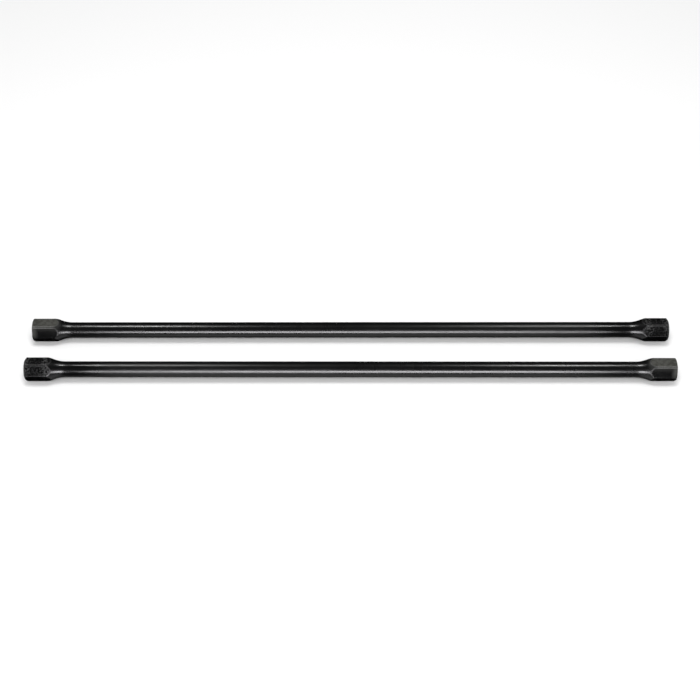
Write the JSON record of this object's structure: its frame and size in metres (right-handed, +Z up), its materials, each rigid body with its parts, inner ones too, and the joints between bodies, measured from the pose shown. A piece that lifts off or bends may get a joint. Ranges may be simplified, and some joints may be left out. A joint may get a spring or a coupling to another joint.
{
  "type": "torsion bar pair",
  "caption": "Solid round torsion bar springs for a truck suspension, a left-hand and a right-hand one lying side by side, with forged hexagonal heads at their ends and satin black paint.",
  "frame": {"origin": "on the surface that the bars lie on, under the middle of the pair", "axes": "+X along the bars, towards the back bar's chamfered head; +Y towards the back bar; +Z up, away from the surface that the bars lie on"},
  "size_m": [1.143, 0.1374, 0.0401],
  "materials": {
    "black_paint": "satin black paint over as-forged spring steel, duller on the hexagonal heads"
  },
  "bodies": {
    "back_bar": {"back_torsion_bar": "black_paint"},
    "front_bar": {"front_torsion_bar": "black_paint"}
  },
  "joints": [
    {"name": "front_bar_slide", "type": "slide", "parent": "back_bar", "child": "front_bar", "axis": [0, -1, 0], "range_m": [-0.05, 0.3]}
  ]
}
